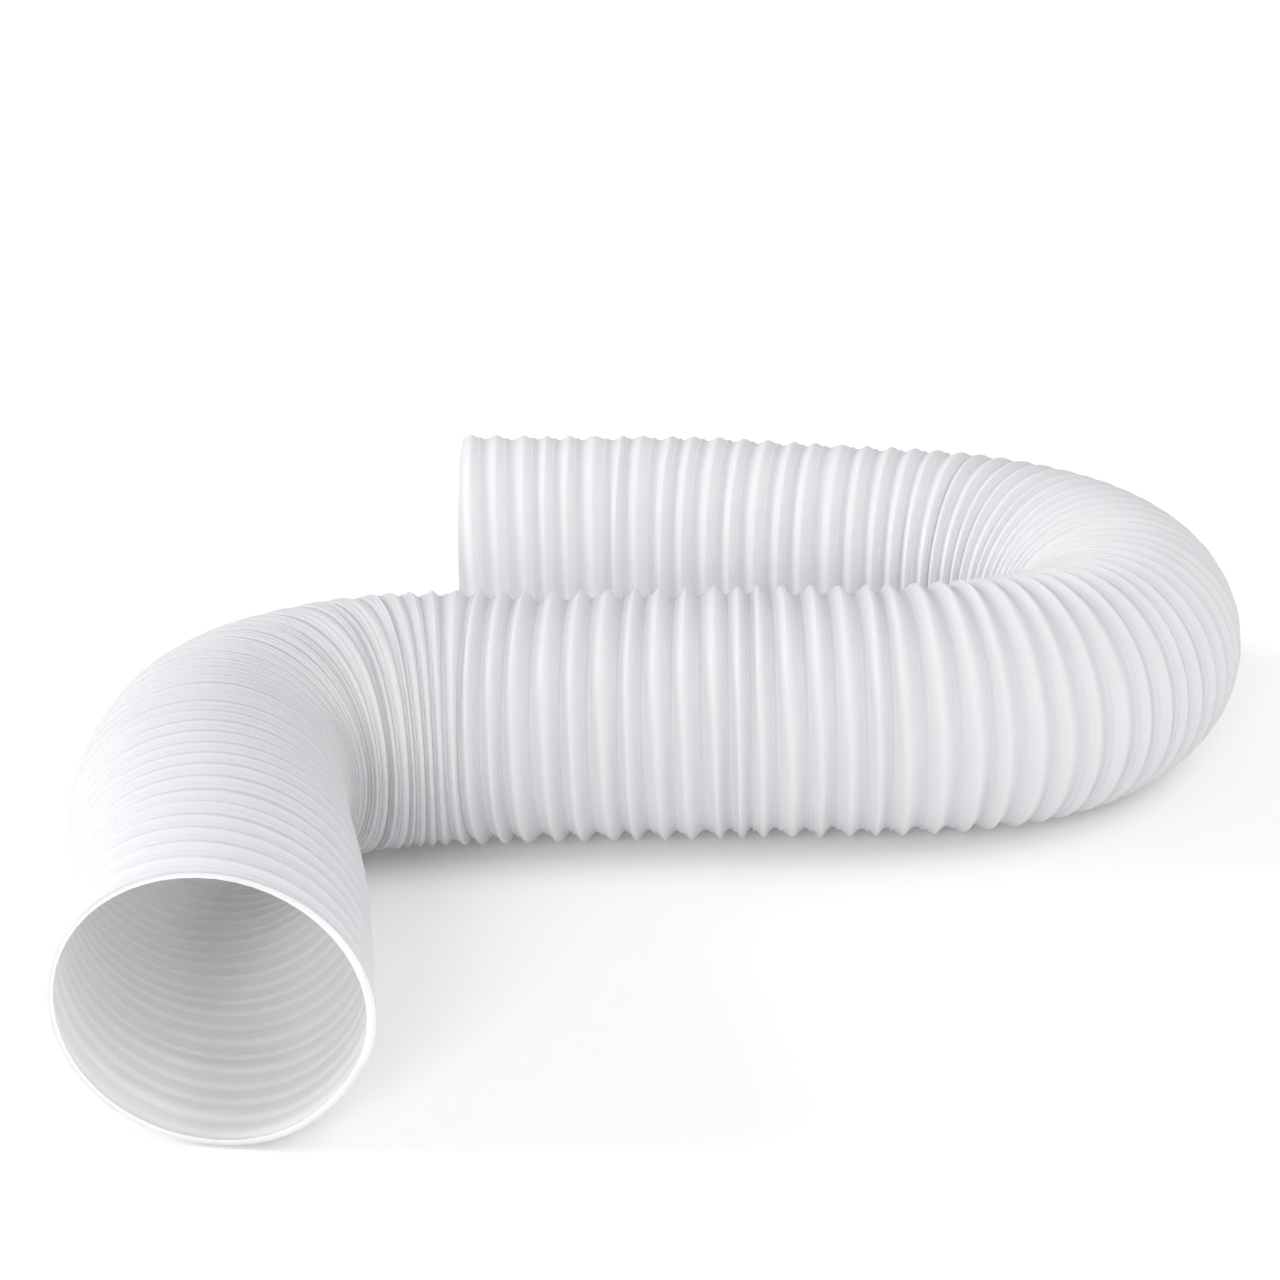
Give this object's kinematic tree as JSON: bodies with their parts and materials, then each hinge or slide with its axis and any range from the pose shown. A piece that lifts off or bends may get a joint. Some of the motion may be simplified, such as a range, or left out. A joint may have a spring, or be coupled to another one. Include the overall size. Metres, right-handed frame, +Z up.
{
  "type": "air conditioner exhaust hose",
  "caption": "White corrugated flexible plastic duct that carries hot air from a portable air conditioner, lying in an S with a tight half turn, an elbow and two open square-cut ends.",
  "frame": {"origin": "on the floor under the middle of the hose's bounding box", "axes": "+Z up from the floor, the rear leg and the front leg run along X, and the front mouth opens towards -Y"},
  "size_m": [0.7144, 0.7714, 0.156],
  "materials": {
    "hose": "smooth white semi-rigid polypropylene with a soft sheen"
  },
  "bodies": {
    "root": {"hose": "hose"}
  },
  "joints": []
}
